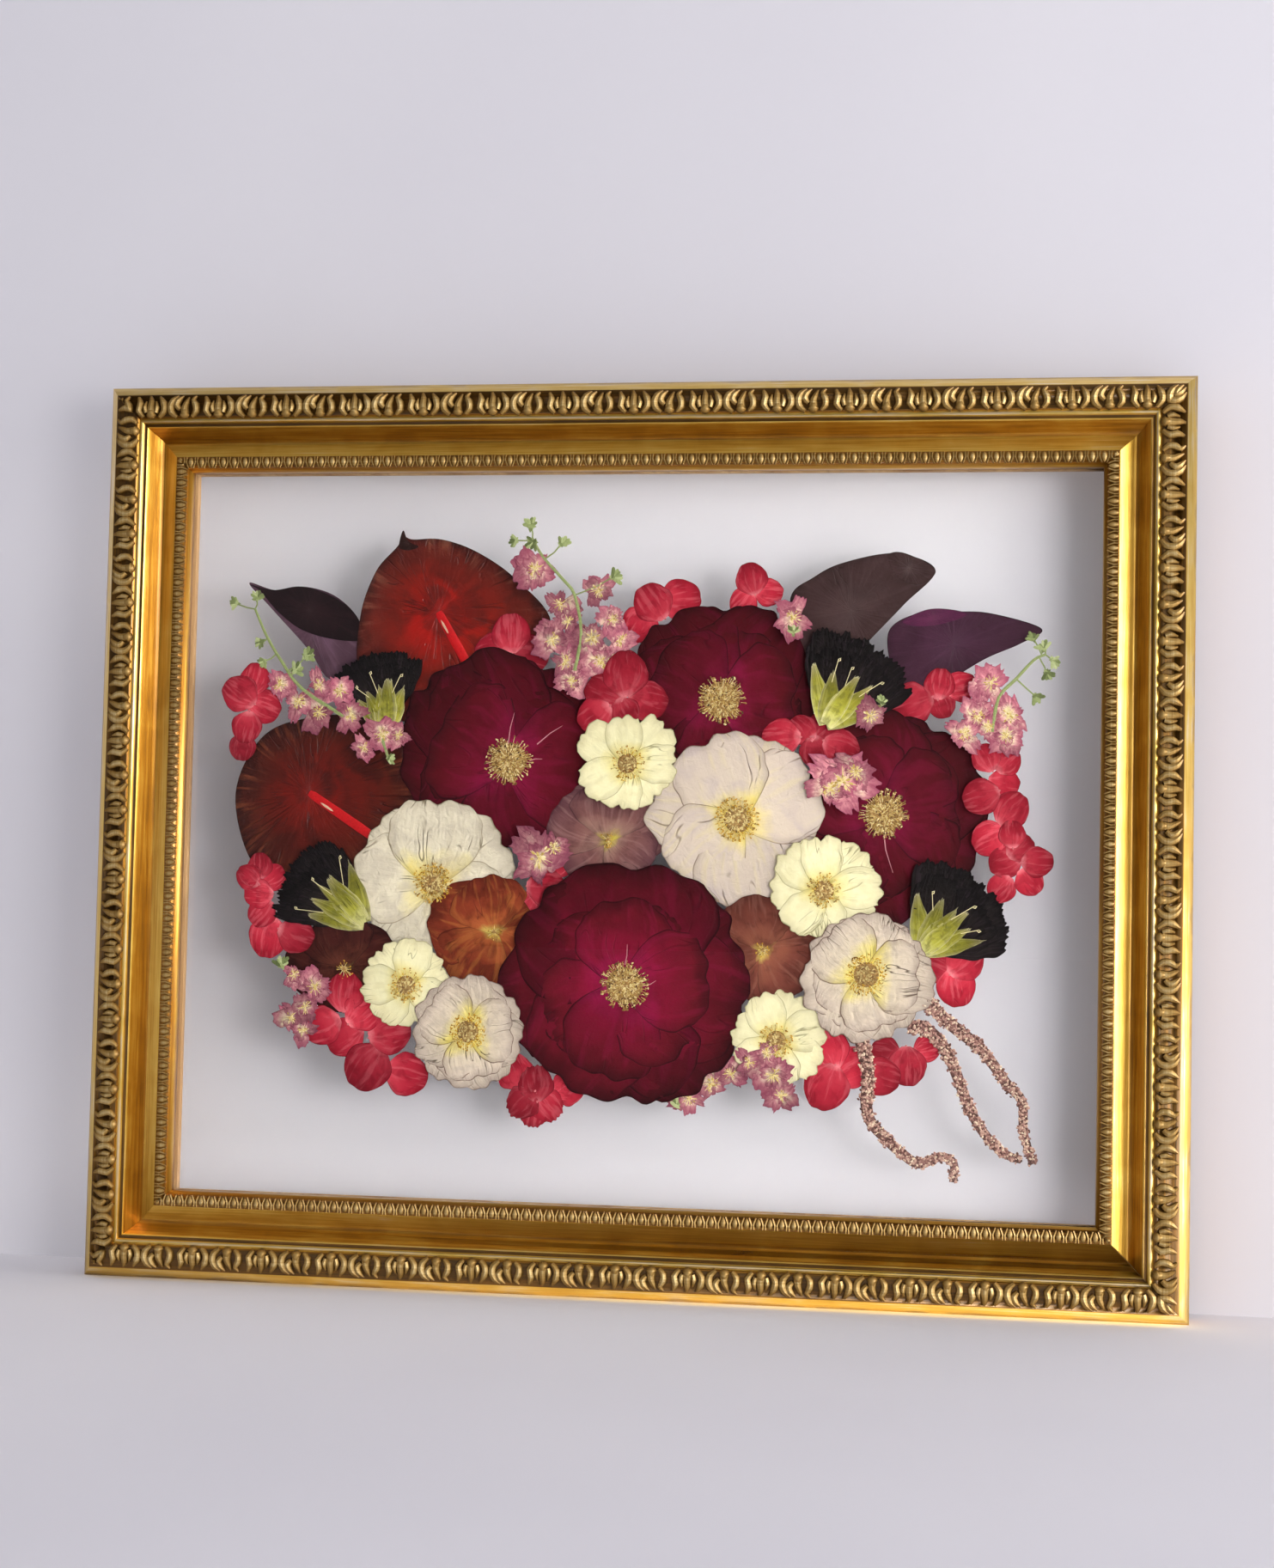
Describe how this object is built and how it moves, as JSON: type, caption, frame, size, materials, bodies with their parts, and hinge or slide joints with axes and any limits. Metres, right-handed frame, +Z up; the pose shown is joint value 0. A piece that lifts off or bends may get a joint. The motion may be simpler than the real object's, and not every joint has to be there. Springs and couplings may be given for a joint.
{
  "type": "pressed flower frame",
  "caption": "Pressed flowers floating between two clear glass panes in a wide carved and gilded wooden picture frame.",
  "frame": {"origin": "middle of the footprint that the bottom rail stands on", "axes": "+Z up, the flowers face -Y, +X to the viewer's right"},
  "size_m": [0.591, 0.032, 0.4894],
  "materials": {
    "gilt_wood": "aged gold leaf over carved wood, brown in the hollows",
    "clear_glass": "clear float glass",
    "rose_petal": "dried dark maroon petals, matt",
    "white_petal": "dried off-white petals with dark creases",
    "cream_petal": "dried cream petals",
    "mauve_petal": "dried dusky mauve petals, part see-through",
    "copper_petal": "dried copper red petals",
    "brown_petal": "dried dark brown petals",
    "anthurium_spathe": "dried glossy brown red spathe, wrinkled",
    "purple_leaf": "dried dark purple leaf",
    "carnation_petal": "dried black ruffled petals over a lime green calyx",
    "hydrangea_petal": "dried coral red petals with pale veins",
    "stock_petal": "dried mauve pink petals on green stems",
    "amaranth_tassel": "dried tan pink granular tassel"
  },
  "bodies": {
    "root": {"rail_top": "gilt_wood", "rail_right": "gilt_wood", "rail_bottom": "gilt_wood", "rail_left": "gilt_wood", "glass_front": "clear_glass", "glass_back": "clear_glass", "rose_centre": "rose_petal", "rose_left": "rose_petal", "rose_top": "rose_petal", "rose_right": "rose_petal", "white_large": "white_petal", "white_left": "white_petal", "white_bottom": "white_petal", "white_right": "white_petal", "cream_top": "cream_petal", "cream_right": "cream_petal", "cream_left": "cream_petal", "cream_bottom": "cream_petal", "mauve_bloom": "mauve_petal", "copper_bloom_left": "copper_petal", "copper_bloom_right": "copper_petal", "brown_bloom": "brown_petal", "anthurium_top": "anthurium_spathe", "anthurium_left": "anthurium_spathe", "leaf_left": "purple_leaf", "leaf_right_tall": "purple_leaf", "leaf_right_wide": "purple_leaf", "carnation_left_top": "carnation_petal", "carnation_left_low": "carnation_petal", "carnation_right_top": "carnation_petal", "carnation_right_low": "carnation_petal", "hydrangea_left_top": "hydrangea_petal", "hydrangea_by_anthurium": "hydrangea_petal", "hydrangea_behind_rose": "hydrangea_petal", "hydrangea_middle": "hydrangea_petal", "hydrangea_top": "hydrangea_petal", "hydrangea_by_white": "hydrangea_petal", "hydrangea_right_top": "hydrangea_petal", "hydrangea_right_chain": "hydrangea_petal", "hydrangea_left_low": "hydrangea_petal", "hydrangea_by_copper": "hydrangea_petal", "hydrangea_bottom_left": "hydrangea_petal", "hydrangea_bottom": "hydrangea_petal", "hydrangea_bottom_right": "hydrangea_petal", "hydrangea_by_strands": "hydrangea_petal", "hydrangea_by_carnation": "hydrangea_petal", "stock_left": "stock_petal", "stock_top": "stock_petal", "stock_right": "stock_petal", "stock_beside_leaf": "stock_petal", "stock_by_calyx": "stock_petal", "stock_on_rose": "stock_petal", "stock_by_leaf_left": "stock_petal", "stock_star": "stock_petal", "stock_bottom_left": "stock_petal", "stock_bottom": "stock_petal", "stock_bottom_right": "stock_petal", "amaranth_strand_left": "amaranth_tassel", "amaranth_strand_middle": "amaranth_tassel", "amaranth_strand_right": "amaranth_tassel"}
  },
  "joints": []
}
